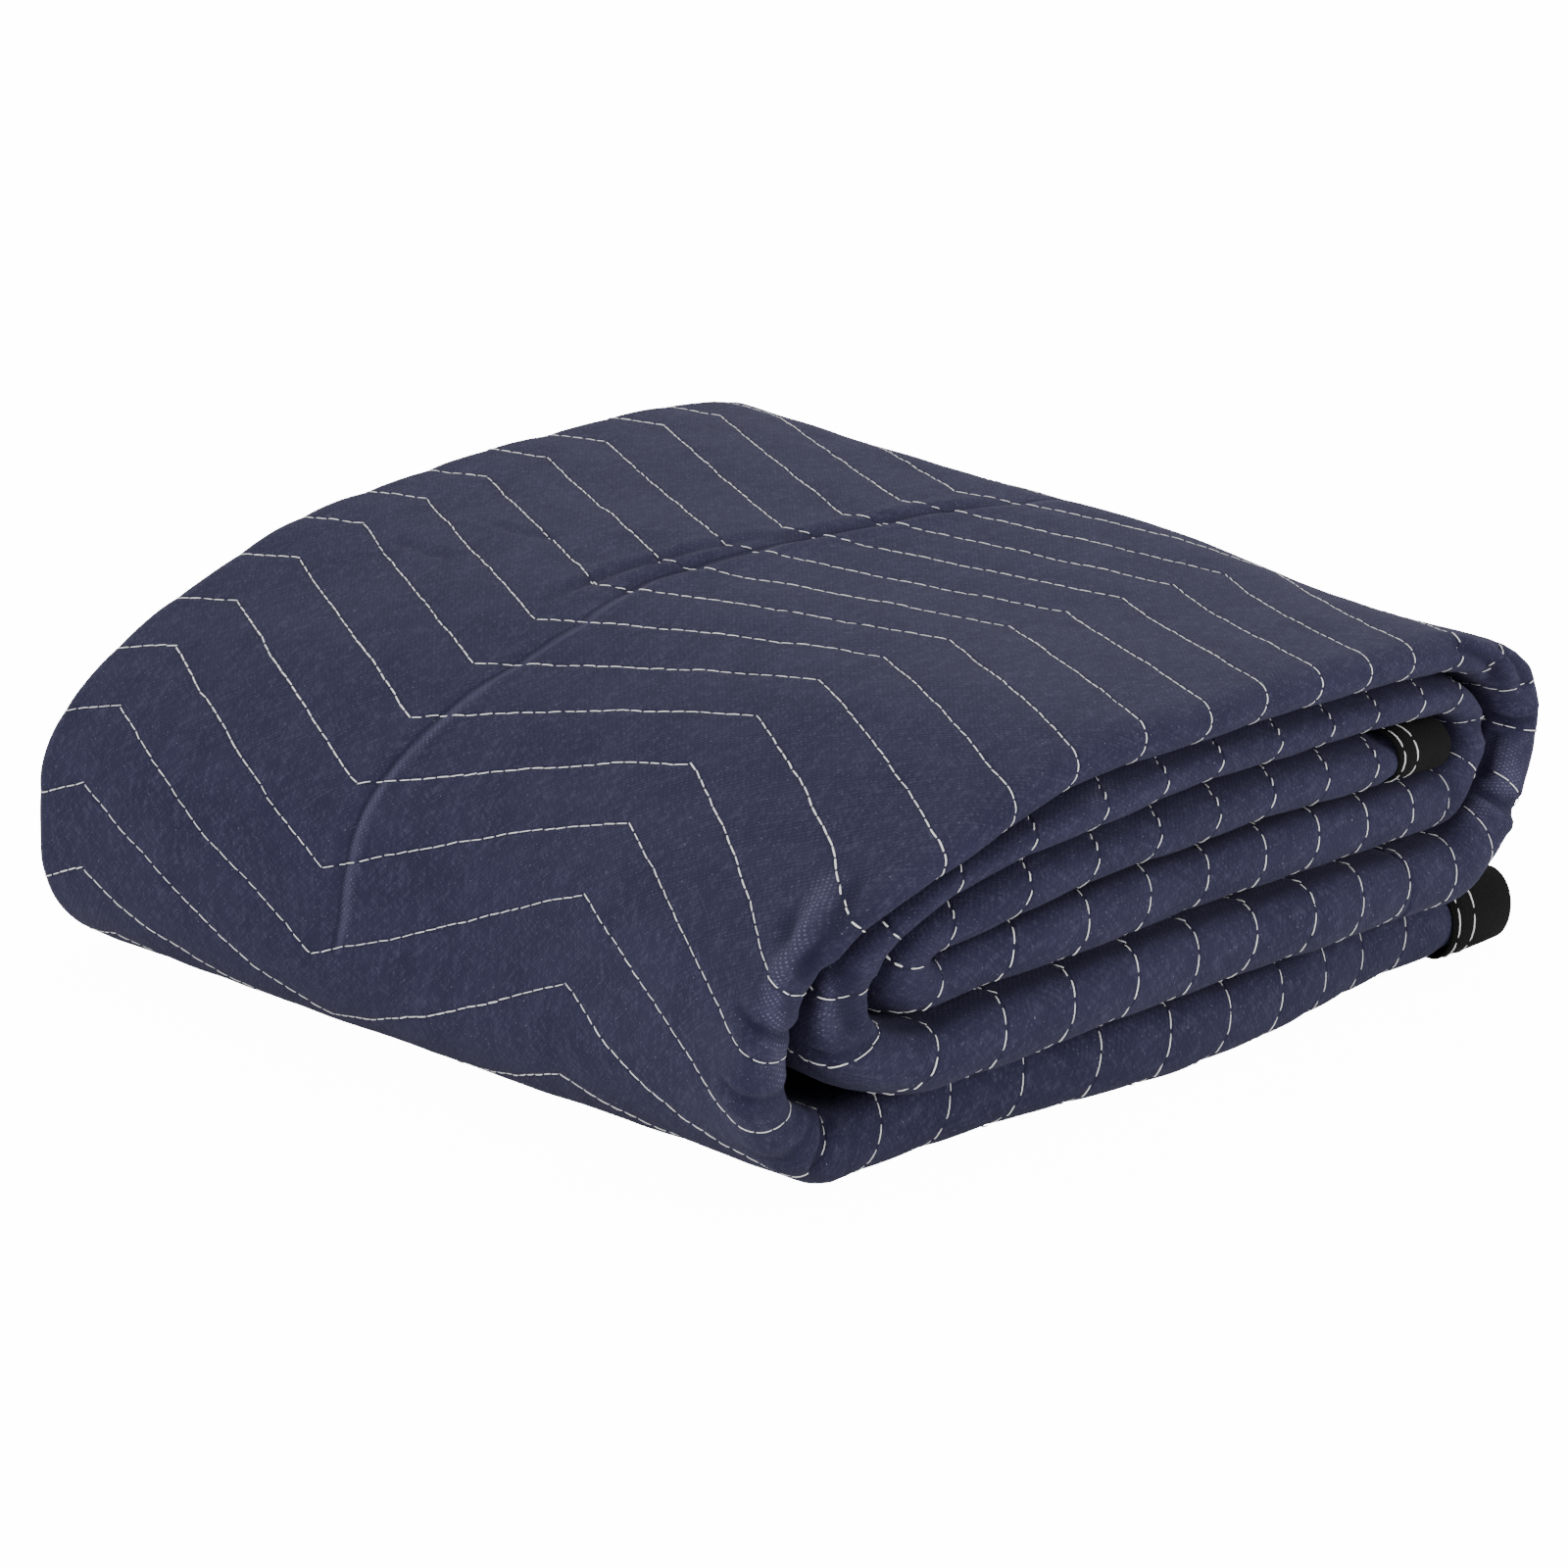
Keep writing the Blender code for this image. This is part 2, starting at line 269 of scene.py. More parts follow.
def settle(x, y, z):
    behind = y - FRONT
    left = np.exp(-((x - LEFT_X) / LEFT_SLUMP_REACH) ** 2)
    right = np.exp(-((x - RIGHT_X) / RIGHT_SLUMP_REACH) ** 2)
    loose = LOOSE_FRONT + (LOOSE_BACK - LOOSE_FRONT) * smooth(behind / LOOSE_OVER)
    new_z = z + loose * (1 + LOOSE_LEFT * left) * np.sin(np.pi * np.clip(z / PILE, 0.0, 1.0))
    height = FRONT_HEIGHT + (BACK_HEIGHT - FRONT_HEIGHT) * smooth((y - HEIGHT_FROM_Y) / HEIGHT_OVER)
    height = height * (1 - LEFT_SLUMP * left) * (1 - RIGHT_SLUMP * right)
    height = height * (1 + bumps(HILLS, HILL_REACH, x, y))
    flare = np.exp(-behind / NOSE_FLARE_REACH) * smooth((SIDE_X["left"] - x) / NOSE_FLARE_OVER)
    flare = flare * smooth(z / (2 * LAYER_STEP))
    push = bumps(PUSHES, PUSH_REACH, x, y) * smooth((z - LAYER) / (2 * LAYER_STEP))
    far_right = smooth((x - SKEW_FROM_X) / SKEW_OVER)
    new_x = x + push - NOSE_FLARE * flare + RIGHT_SKEW * y * far_right
    return np.stack([new_x - ORIGIN_X, y, new_z * height], -1)


print("front of the flat pile", settle(0.0, FRONT, PILE).round(4))

# %% From a place on the sheet to a place in the pile
FOLD_WANDER = 0.0011


def waves(a, b, size, seed, count=9):
    """Smooth uneven heights, about -1 to 1, with features about `size` apart."""
    rng = np.random.default_rng(seed)
    total = 0.0
    for _ in range(count):
        way = rng.uniform(0, math.tau)
        rate = math.tau / (size * rng.uniform(0.7, 1.6))
        total = total + np.sin(rate * (a * math.cos(way) + b * math.sin(way)) + rng.uniform(0, math.tau))
    return total / math.sqrt(count)


def setback(s):
    at, wanted = np.array(SETBACKS).T
    low = np.clip(np.searchsorted(at, s, side="right") - 1, 0, len(at) - 2)
    share = (s - at[low]) / (at[low + 1] - at[low])
    return wanted[low] + (wanted[low + 1] - wanted[low]) * smooth(share)


def folded(s, t, lift):
    """Where the place s along and t across the sheet lies, lifted off its middle."""
    s, t, lift = np.broadcast_arrays(s, t, lift)
    x, z, nx, nz = (np.interp(s, PATH[:, 0], PATH[:, k]) for k in (1, 2, 3, 4))
    beyond = np.maximum(s - LENGTH, 0.0) - np.maximum(-s, 0.0)
    x = x + np.abs(beyond)
    y, n, ny, nn = (np.interp(t, SECTION[:, 0], SECTION[:, k]) for k in (1, 2, 3, 4))
    y, n = y + lift * ny, n + lift * nn
    x, z = x + n * nx, z + n * nz
    wander = setback(s) + FOLD_WANDER * waves(s, 0.0, 0.090, 17)
    y = y + wander * (0.5 - y / STRIP_DEPTH)
    return settle(x, y, z)


print("first corner", folded(0.0, 0.0, 0.0).round(4))

# %% [markdown]
# ## Seams
#
# The seams run across the sheet as parallel zigzags. On the real blanket they are even
# on the flat cloth, so their spacing is measured over the settled outer ply: CLOTH
# turns the strip's length into the length of cloth used up to there.

# %% Where the seams run
ZIG_HALF = 4.107 * PITCH
ZIG_DEPTH = 1.741 * PITCH
ZIG_SKEW = 0.081
VALLEY_T = ROLL_END_T - ROLL_Y + 1.255 * PITCH
SEAM_START = 0.307 * PITCH


def cloth_length():
    s = PATH[:, 0]
    points = folded(s, VALLEY_T, PLY / 2)
    return np.concatenate([[0.0], np.cumsum(np.linalg.norm(np.diff(points, axis=0), axis=1))])


CLOTH = cloth_length()


def zigzag(t):
    """How far a seam lies ahead of its middle, at t across the sheet."""
    part = np.abs(((t - VALLEY_T) / ZIG_HALF + 1) % 2 - 1)
    rounded = part + 0.010 * np.cos(np.pi * part)
    return ZIG_DEPTH * (rounded - 0.5) + ZIG_SKEW * (t - VALLEY_T)


def seam_phase(s, t):
    """Counts the seams: a whole number on each of them."""
    used = np.interp(s, PATH[:, 0], CLOTH)
    return (used - SEAM_START - zigzag(t)) / PITCH


def seam_at(number, t):
    """The strip's length at which seam `number` crosses t."""
    return np.interp(number * PITCH + SEAM_START + zigzag(t), CLOTH, PATH[:, 0])


SEAMS = int(CLOTH[-1] / PITCH) + 1
print(SEAMS, "seams over", round(CLOTH[-1], 3), "m of cloth")

# %% [markdown]
# ## The relief of the cloth
#
# Three things shape the surface between the folds: the filling swells between two
# seams, the thread draws small puckers into the cloth beside it, and storage leaves
# a few creases. All of them are a height over the flat cloth, worked out here for any
# place on it.

# %% Swell, puckers and soft waves
SWELL = 0.0005
PUCKER, PUCKER_SIZE = 0.00016, 0.011
SOFT_WAVE_COLUMNS = ("height", "size", "seed")
SOFT_WAVES = ((0.00026, 0.080, 3), (0.00010, 0.026, 5))


def half_thickness(s):
    """Half the cloth's thickness: it is squeezed flat under the two bindings."""
    from_end = np.minimum(s, LENGTH - s)
    free = smooth((from_end - TAPE_WIDTH + 0.002) / 0.008)
    return EDGE_PLY / 2 + free * (PLY - EDGE_PLY) / 2


def relief(s, t):
    used = np.interp(s, PATH[:, 0], CLOTH)
    phase = seam_phase(s, t)
    apart = np.abs(phase - np.round(phase)) * 2
    swell = 1 - (1 - apart) ** 2.6
    free = smooth((np.minimum(s, LENGTH - s) - TAPE_WIDTH) / 0.012)
    near = np.exp(-apart / 0.30)
    pucker = waves(used * 0.35, t, PUCKER_SIZE, 7) * PUCKER * near
    soft = sum(high * waves(used, t, size, seed) for high, size, seed in SOFT_WAVES)
    return free * (SWELL * (swell - 0.75) + pucker + soft)


# %% [markdown]
# ## Creases
#
# A crease is a soft trough along a line, with a low ridge on both sides of it. The long
# one is where the blanket was once folded along its length. The others are short, at
# the near corner, the right turn and on top. Each is a row: its half width, its depth
# and its line as places (s, t) on the sheet. A depth below 0 makes a ridge instead.

# %% Creases
LONG_CREASE = (
    (0.330, 0.8255), (0.362, 0.8258), (0.387, 0.8275), (0.408, 0.8255), (0.432, 0.8212),
    (0.4545, 0.8195), (0.4905, 0.8262), (0.5235, 0.8258), (0.567, 0.8233), (0.5835, 0.8212),
    (0.606, 0.8205), (0.624, 0.8165), (0.651, 0.8133),
)
CREASE_COLUMNS = ("half_width", "depth", "line")
CREASES = (
    (0.0022, 0.0007, ((0.330, 0.8255), (0.387, 0.8275), (0.432, 0.8212), (0.4545, 0.8195))),
    (0.0026, 0.0014, ((0.450, 0.8200), (0.4905, 0.8262), (0.5235, 0.8258), (0.567, 0.8233),
                      (0.6060, 0.8205), (0.6510, 0.8133))),
    (0.0026, 0.0011, ((0.455, 0.8400), (0.490, 0.8390), (0.530, 0.8330), (0.5650, 0.8240))),
    (0.0020, 0.0006, ((0.476, 0.9235), (0.4725, 0.9058), (0.4725, 0.8883))),
    (0.0020, 0.0005, ((0.500, 0.9100), (0.497, 0.8900), (0.500, 0.8700))),
    (0.0024, 0.0014, ((0.350, 0.6270), (0.3600, 0.6400), (0.3660, 0.6560))),
    (0.0022, 0.0013, ((0.329, 0.6290), (0.3330, 0.6420), (0.3370, 0.6580))),
    (0.0020, 0.0018, ((0.2940, 0.6270), (0.2985, 0.6330), (0.3015, 0.6390), (0.2990, 0.6460))),
    (0.0018, -0.0009, ((0.2890, 0.6300), (0.2930, 0.6380), (0.2920, 0.6470))),
    (0.0020, 0.0011, ((0.303, 0.6300), (0.3100, 0.6400), (0.3150, 0.6560))),
    (0.0026, 0.0012, ((0.378, 0.6290), (0.3860, 0.6420), (0.3950, 0.6620))),
    (0.0024, -0.0011, ((0.4035, 0.6583), (0.3990, 0.6532), (0.3915, 0.6484), (0.3690, 0.6424))),
    (0.0024, 0.0018, ((0.4100, 0.6570), (0.4040, 0.6490), (0.3960, 0.6440), (0.3780, 0.6380))),
    (0.0022, 0.0022, ((0.6345, 0.6440), (0.6550, 0.6370), (0.6720, 0.6300))),
    (0.0020, 0.0017, ((0.6550, 0.6450), (0.6700, 0.6400), (0.6850, 0.6370))),
    (0.0020, 0.0024, ((0.6900, 0.6250), (0.6955, 0.6320), (0.6960, 0.6430))),
    (0.0018, 0.0016, ((0.6950, 0.6310), (0.7050, 0.6292), (0.7250, 0.6285))),
    (0.0020, 0.0022, ((0.7270, 0.6260), (0.7260, 0.6340), (0.7225, 0.6460))),
    (0.0020, 0.0020, ((1.0420, 0.6460), (1.0305, 0.6388), (1.0185, 0.6364), (1.0070, 0.6364))),
    (0.0018, 0.0014, ((1.0420, 0.6425), (1.0290, 0.6352), (1.0060, 0.6332))),
    (0.0018, 0.0012, ((1.0000, 0.6310), (1.0080, 0.6400), (1.0140, 0.6490))),
    (0.0020, 0.0012, ((1.3000, 0.6320), (1.3080, 0.6400), (1.3160, 0.6500))),
    (0.0020, 0.0010, ((1.3300, 0.6320), (1.3400, 0.6420), (1.3440, 0.6500))),
)


RIDGE_OFF, RIDGE_WIDE, RIDGE_HIGH = 2.1, 1.1, 0.5
FADE_SHARE = 0.25


def off_line(s, t, line):
    """Distance from (s, t) to a line of points, and the share of its length reached."""
    line = np.array(line)
    gaps = np.diff(line, axis=0)
    longs = np.linalg.norm(gaps, axis=1)
    before = np.concatenate([[0.0], np.cumsum(longs)])
    nearest, share = np.full(np.broadcast(s, t).shape, 9.0), 0.0
    for k, (gap, long) in enumerate(zip(gaps, longs)):
        a = ((s - line[k, 0]) * gap[0] + (t - line[k, 1]) * gap[1]) / long ** 2
        a = np.clip(a, 0.0, 1.0)
        off = np.hypot(s - line[k, 0] - a * gap[0], t - line[k, 1] - a * gap[1])
        share = np.where(off < nearest, (before[k] + a * long) / before[-1], share)
        nearest = np.minimum(nearest, off)
    return nearest, share


def creases(s, t):
    total = np.zeros(np.broadcast(s, t).shape)
    for wide, deep, line in CREASES:
        off, share = off_line(s, t, line)
        fade = smooth(share / FADE_SHARE) * smooth((1 - share) / FADE_SHARE)
        trough = np.exp(-(off / wide) ** 2)
        ridge = np.exp(-((off - RIDGE_OFF * wide) / (RIDGE_WIDE * wide)) ** 2)
        total = total + fade * deep * (RIDGE_HIGH * ridge - trough)
    return total


# %% Hanging front folds
SAG_COLUMNS = ("s", "hollow")
SAGS = (
    (0.00, 0.0014),
    (0.22, 0.0014),
    (0.30, 0.0000),
    (0.72, 0.0000),
    (0.80, 0.0013),
    (0.98, 0.0016),
    (1.07, 0.0035),
    (1.24, 0.0035),
    (1.34, 0.0013),
    (1.52, 0.0016),
    (1.62, 0.0027),
    (1.80, 0.0027),
)


def up_the_fold(t):
    """0 at the foot of a front fold and 1 at its top."""
    return (t - ROLL_START_T) / (ROLL_END_T - ROLL_START_T)


def hollow_at(s):
    return np.interp(s, *np.array(SAGS).T)


def sagging_roll(s, t):
    """The front folds hang: hollow above, full lower down and pinched at the foot."""
    up, hollow = up_the_fold(t), hollow_at(s)
    full = 0.25 * np.exp(-((up - 0.40) / 0.24) ** 2)
    pinch = 0.45 * np.exp(-((up - 0.02) / 0.15) ** 2)
    return hollow * (full - pinch - np.exp(-((up - 0.86) / 0.24) ** 2))


def painted_groove_shade(s, t):
    """1 in the narrow grooves between two front folds, 0 on the folds themselves: a mask for painted
    shade.
    """
    up, hidden = up_the_fold(t), smooth(hollow_at(s) / 0.0010)
    return hidden * (np.exp(-(up / 0.13) ** 2) + np.exp(-((up - 1.02) / 0.13) ** 2))


def lift_of(s, t):
    return half_thickness(s) + relief(s, t) + creases(s, t) + sagging_roll(s, t)


print("creases", len(CREASES), "; deepest hollow", max(hollow for _, hollow in SAGS))


# %% [markdown]
# ## Painted highlights and shade on the cloth
#
# Along a sharp fold the felt is stretched thin; there a paler wash and bright pressed
# points are painted on as a highlight. The rows below draw such lines. Painted shade
# darkens the creases and the grooves between the front folds. Each place of the sheet
# also keeps its distance from the long crease: a paler band lies along one side of it
# and painted shade along its middle.

# %% Lines of painted highlight on stretched felt
STRETCH_HIGHLIGHT_COLUMNS = ("reach", "amount", "line")
STRETCH_HIGHLIGHT_LINES = (
    (0.0027, 0.9, ((0.4035, 0.6583), (0.3990, 0.6532), (0.3915, 0.6484), (0.3690, 0.6424))),
    (0.0024, 0.7, ((0.3660, 0.6400), (0.3510, 0.6364), (0.3360, 0.6340))),
    (0.0024, 0.6, ((1.0320, 0.6412), (1.0185, 0.6400))),
    (0.0040, 0.9, ((0.7065, 0.6304), (0.7155, 0.6340))),
    (0.0034, 0.8, ((0.7350, 0.6292), (0.7275, 0.6316), (0.7185, 0.6352))),
    (0.0026, 0.6, ((1.1160, 0.6430), (1.1240, 0.6460))),
    (0.0030, 0.6, ((1.2950, 0.6430), (1.3120, 0.6410))),
    (0.0018, 0.9, ((0.3400, 0.8232), (0.3620, 0.8234), (0.3870, 0.8251), (0.4200, 0.8210))),
)
# A crease this deep gets the darkest painted shade.
FULL_SHADE_DEPTH = 0.0014


def wear_and_painted_light(s, t):
    """Distance in front of the long crease, the painted highlight on stretched lines, and the painted
    shade in creases and grooves.
    """
    s, t = np.broadcast_arrays(s, t)
    line = np.array(LONG_CREASE)
    off = t - np.interp(s, line[:, 0], line[:, 1])
    off = off + 1.0 * ((s < line[0, 0]) | (s > line[-1, 0]))
    # Painted highlight along the stretched lines.
    painted_stretch_highlight = 0.0
    for reach, amount, ridge in STRETCH_HIGHLIGHT_LINES:
        painted_stretch_highlight = painted_stretch_highlight + amount * np.exp(-(off_line(s, t, ridge)[0] / reach) ** 2)
    # Painted shade: darker in deep creases and in the grooves between the front folds.
    deep = np.clip(-creases(s, t) / FULL_SHADE_DEPTH + painted_groove_shade(s, t), 0, 1)
    return np.stack([off, np.clip(painted_stretch_highlight, 0, 1), deep], -1)


print("stretched lines", len(STRETCH_HIGHLIGHT_LINES))


# %% [markdown]
# ## The sheet
#
# One mesh stands for the whole blanket, with many small faces where it can be seen and
# few where it is folded away. Two grids make its outer face: one for the outermost turn
# of the strip, one for the layers inside it. A coarse third grid is the inner face. Rows
# with unlike numbers of points are zipped together by triangles.

# %% Rows and columns for the grids
def marks(*stretches):
    """Places along a line from (start, end, step) stretches that follow each other."""
    places = []
    for start, end, step in stretches:
        count = max(1, round((end - start) / step))
        places.append(np.linspace(start, end, count + 1)[:-1])
    return np.concatenate(places + [[stretches[-1][1]]])


def across(fold_step, front_step, top_step, flat_step=0.045, spare=0.007):
    """Places across the sheet: close together in its three folds, as asked between them."""
    low_end, high_end = LOW_FOLD_T + FOLD_ARC, HIGH_FOLD_T + FOLD_ARC
    return marks(
        (0.0, LOW_FOLD_T - spare, flat_step),
        (LOW_FOLD_T - spare, low_end + spare, fold_step),
        (low_end + spare, ROLL_START_T - spare, flat_step),
        (ROLL_START_T - spare, ROLL_END_T + spare, front_step),
        (ROLL_END_T + spare, HIGH_FOLD_T - spare, top_step),
        (HIGH_FOLD_T - spare, high_end + spare, fold_step),
        (high_end + spare, WIDTH, flat_step),
    )


def turn_lengths():
    """Where each half turn starts and ends along the strip."""
    bent = np.abs(PATH[:, 3]) > 1e-6
    edges = np.flatnonzero(np.diff(bent.astype(int)))
    return PATH[edges, 0]


BENDS = turn_lengths()
SPLIT_S = BENDS[BENDS > 0.45][1] + 0.022
print("turns begin and end at", BENDS.round(3), "; the grids meet at", round(SPLIT_S, 3))


# %% Points and faces
def face_grid(s, t, lift, start):
    """A grid of the sheet: its points, their places, their wear and painted light, and their numbers."""
    s, t = np.meshgrid(s, t, indexing="ij")
    used = np.interp(s, PATH[:, 0], CLOTH)
    place = np.stack([used, t, seam_phase(s, t)], -1)
    points = folded(s, t, lift(s, t))
    numbers = start + np.arange(s.size).reshape(s.shape)
    return (*(rows.reshape(-1, 3) for rows in (points, place, wear_and_painted_light(s, t))), numbers)


def quads(numbers):
    a, b = numbers[:-1, :-1].ravel(), numbers[1:, :-1].ravel()
    c, d = numbers[1:, 1:].ravel(), numbers[:-1, 1:].ravel()
    return np.stack([a, b, c, d], 1).tolist()


def zipped(first, first_at, second, second_at):
    """Triangles between two rows of points whose places along the row differ."""
    faces, i, j = [], 0, 0
    while i < len(first) - 1 or j < len(second) - 1:
        ahead = j == len(second) - 1 or (
            i < len(first) - 1 and first_at[i + 1] <= second_at[j + 1])
        if ahead:
            faces.append((first[i], first[i + 1], second[j]))
            i += 1
        else:
            faces.append((first[i], second[j + 1], second[j]))
            j += 1
    return faces


def mesh_object(name, points, faces, attributes=()):
    mesh = bpy.data.meshes.new(name)
    mesh.from_pydata(points.tolist(), [], faces)
    for label, values in attributes:
        kept = mesh.attributes.new(label, "FLOAT_VECTOR", "POINT")
        kept.data.foreach_set("vector", np.ascontiguousarray(values, np.float32).ravel())
    work = bmesh.new()
    work.from_mesh(mesh)
    bmesh.ops.recalc_face_normals(work, faces=work.faces)
    work.to_mesh(mesh)
    work.free()
    mesh.shade_smooth()
    made = bpy.data.objects.new(name, mesh)
    bpy.context.scene.collection.objects.link(made)
    return made


# %% Build the outer and the inner face
def inner_face(s, t):
    """The hidden face, a little inside the cloth's real thickness."""
    return -0.9 * half_thickness(s)


def cloth_sheet():
    bound, spare = TAPE_WIDTH + 0.010, 0.004
    outer_s = marks(
        (0.0, bound, 0.0020),
        (bound, BENDS[0] - spare, 0.0032),
        (BENDS[0] - spare, BENDS[1], 0.0018),
        (BENDS[1], BENDS[2], 0.0023),
        (BENDS[2], BENDS[3] + spare, 0.0019),
        (BENDS[3] + spare, SPLIT_S, 0.0030),
    )
    inner_s = marks(
        (SPLIT_S, LENGTH - bound, 0.0028),
        (LENGTH - bound, LENGTH, 0.0020),
    )
    back_s = marks((0.0, LENGTH, 0.013))
    outer_t = across(0.0016, 0.0016, 0.0024)
    inner_t = across(0.0020, 0.0017, 0.035)
    back_t = across(0.0019, 0.0028, 0.050, spare=0.0)
    grids, start = [], 0
    for s, t, lift in ((outer_s, outer_t, lift_of), (inner_s, inner_t, lift_of),
                       (back_s, back_t, inner_face)):
        grids.append(face_grid(s, t, lift, start))
        start += len(s) * len(t)
    points, places, wear_and_light = (np.concatenate([made[k] for made in grids]) for k in range(3))
    outer, inner, back = (made[3] for made in grids)
    faces = quads(outer) + quads(inner) + quads(back)
    faces += zipped(outer[-1], outer_t, inner[0], inner_t)
    faces += zipped(outer[0], outer_t, back[0], back_t)
    faces += zipped(inner[-1], inner_t, back[-1], back_t)
    for column in (0, -1):
        edge = np.concatenate([outer[:, column], inner[:, column]])
        at = np.concatenate([outer_s, inner_s + 1e-9])
        faces += zipped(edge, at, back[:, column], back_s)
    # The second attribute holds the distance from the long crease, the painted highlight and the painted
    # shade.
    return mesh_object("blanket_cloth", points, faces, [("cloth_place", places), ("cloth_wear_and_light", wear_and_light)])


cloth = cloth_sheet()
print("sheet", len(cloth.data.vertices), "points,",
      sum(len(p.vertices) - 2 for p in cloth.data.polygons), "triangles")

# %% [markdown]
# ## Quilting thread
#
# Each stitch is a short rounded piece of thread that rises out of one needle hole and
# dives into the next. It is drawn in the flat cloth's own measures and folded with it,
# so it follows every bend. All stitches of a stretch are one mesh, made with arrays.

# %% A function for rows of stitches
STITCH_COLUMNS = ("share_of_length", "share_of_radius", "height_in_radii")
STITCH_RINGS = (
    (-0.50, 0.50, -0.90),
    (-0.46, 0.90, -0.10),
    (-0.30, 1.00, 0.50),
    (0.00, 1.05, 0.65),
    (0.30, 1.00, 0.50),
    (0.46, 0.90, -0.10),
    (0.50, 0.50, -0.90),
)
THREAD_SIDES = 6


def stitches(name, s, t, ahead, length, radius, lift):
    """Stitches centred on each (s, t), lying along `ahead`, their angle from t."""
    rings = np.array(STITCH_RINGS)
    turn = np.arange(THREAD_SIDES) * math.tau / THREAD_SIDES
    along = length[:, None, None] * rings[None, :, 0, None]
    wide = radius[:, None, None] * rings[None, :, 1, None] * np.cos(turn)[None, None, :]
    high = radius[:, None, None] * (
        rings[None, :, 2, None] + 0.8 * rings[None, :, 1, None] * np.sin(turn)[None, None, :])
    c, k = np.cos(ahead)[:, None, None], np.sin(ahead)[:, None, None]
    at_s = s[:, None, None] + along * k + wide * c
    at_t = t[:, None, None] + along * c - wide * k
    base = lift(s, t)[:, None, None]
    points = folded(at_s, at_t, base + high)
    count, ring_count = len(s), len(rings)
    ids = np.arange(count * ring_count * THREAD_SIDES).reshape(count, ring_count, THREAD_SIDES)
    after = np.roll(ids, -1, axis=2)
    sides = np.stack([ids[:, :-1], ids[:, 1:], after[:, 1:], after[:, :-1]], -1)
    faces = sides.reshape(-1, 4).tolist()
    faces += ids[:, 0, ::-1].tolist() + ids[:, -1].tolist()
    spot = np.broadcast_to(along, points.shape[:-1])
    flat = np.stack([spot, np.broadcast_to(turn, spot.shape), 0 * spot], -1)
    made = mesh_object(name, points.reshape(-1, 3), faces, [("thread_place", flat.reshape(-1, 3))])
    print(name, count, "stitches,", count * (2 * THREAD_SIDES * (ring_count - 1) + 8), "triangles")
    return made


# %% Sew the seams that can be seen
STITCH = 0.0045
STITCH_GAP = 0.00036
THREAD = 0.00019
LENGTH_SPREAD, RADIUS_SPREAD, ANGLE_SPREAD = 0.05, 0.07, 0.04
SEWING_WOBBLE = 0.00018
rng = np.random.default_rng(11)


def sewn_line(number, t):
    """A seam as sewn: the even zigzag with the small wobble of real sewing."""
    wide, fine = waves(number * 0.37, t, 0.035, 21), waves(number * 0.91, t, 0.014, 23)
    return seam_at(number, t) + (SEWING_WOBBLE * wide + SEWING_WOBBLE * fine)


def sewn(t_from, t_to, s_from, s_to):
    """Middles and angles of the stitches of every seam inside a patch of the sheet."""
    slope = math.atan2(ZIG_DEPTH, ZIG_HALF)
    step = STITCH * math.cos(slope)
    first = math.ceil((t_from - VALLEY_T) / step)
    ts = VALLEY_T + (np.arange(first, first + int((t_to - t_from) / step)) + 0.5) * step
    numbers = np.arange(SEAMS)
    number, t = (x.ravel() for x in np.meshgrid(numbers, ts, indexing="ij"))
    s = sewn_line(number, t)
    ahead = np.arctan2(sewn_line(number, t + 0.0010) - sewn_line(number, t - 0.0010), 0.0020)
    inside = (s > max(s_from, TAPE_WIDTH + 0.001)) & (s < min(s_to, LENGTH - TAPE_WIDTH - 0.001))
    return np.stack([s, t, ahead], 1)[inside]


def quilting(name, patches):
    rows = np.concatenate([sewn(*patch) for patch in patches])
    s, t, ahead = rows.T
    length = (STITCH - STITCH_GAP) * (1 + LENGTH_SPREAD * rng.standard_normal(len(s)).clip(-2, 2))
    radius = THREAD * (1 + RADIUS_SPREAD * rng.standard_normal(len(s)).clip(-2, 2))
    ahead = ahead + ANGLE_SPREAD * rng.standard_normal(len(s))
    return stitches(name, s, t, ahead, length, radius, lift_of)


FRONT_BAND = (ROLL_START_T - 0.012, ROLL_END_T + 0.012)
BACK_BANDS = ((LOW_FOLD_T - 0.002, LOW_FOLD_T + FOLD_ARC + 0.004),
              (HIGH_FOLD_T - 0.004, HIGH_FOLD_T + FOLD_ARC + 0.002))
outer_thread = quilting("quilting_thread_outer", [
    (FRONT_BAND[1], BACK_BANDS[1][0], BENDS[0] - 0.010, BENDS[3] + 0.006),
])
layer_thread = quilting("quilting_thread_folds", [
    (*FRONT_BAND, 0.0, LENGTH),
    (*BACK_BANDS[0], 0.0, LENGTH),
    (*BACK_BANDS[1], 0.0, LENGTH),
])

# %% [markdown]
# ## Bindings
#
# A woven tape is folded over the cut edge at each end of the sheet and sewn down with
# two rows of longer stitches. The tape is a thin closed sleeve that follows the plies
# and folds, swept from an outline that lies across the edge.

# %% Bind both ends
TAPE_INNER = EDGE_PLY / 2 + 0.0003
TAPE_OUTER = TAPE_INNER + 0.0007
TAPE_OUTLINE = (
    (-0.0285, TAPE_INNER), (-0.0285, TAPE_OUTER), (-0.0220, TAPE_OUTER + 0.00005),
    (-0.0150, TAPE_OUTER + 0.0001), (-0.0070, TAPE_OUTER + 0.0001), (0.0000, TAPE_OUTER),
    (0.0007, 0.0015), (0.0011, 0.0007), (0.0011, -0.0007), (0.0007, -0.0015),
    (0.0000, -TAPE_OUTER), (-0.0140, -TAPE_OUTER), (-0.0285, -TAPE_OUTER),
    (-0.0285, -TAPE_INNER), (-0.0140, -TAPE_INNER), (0.0001, -TAPE_INNER),
    (0.0003, 0.0000), (0.0001, TAPE_INNER), (-0.0140, TAPE_INNER),
)


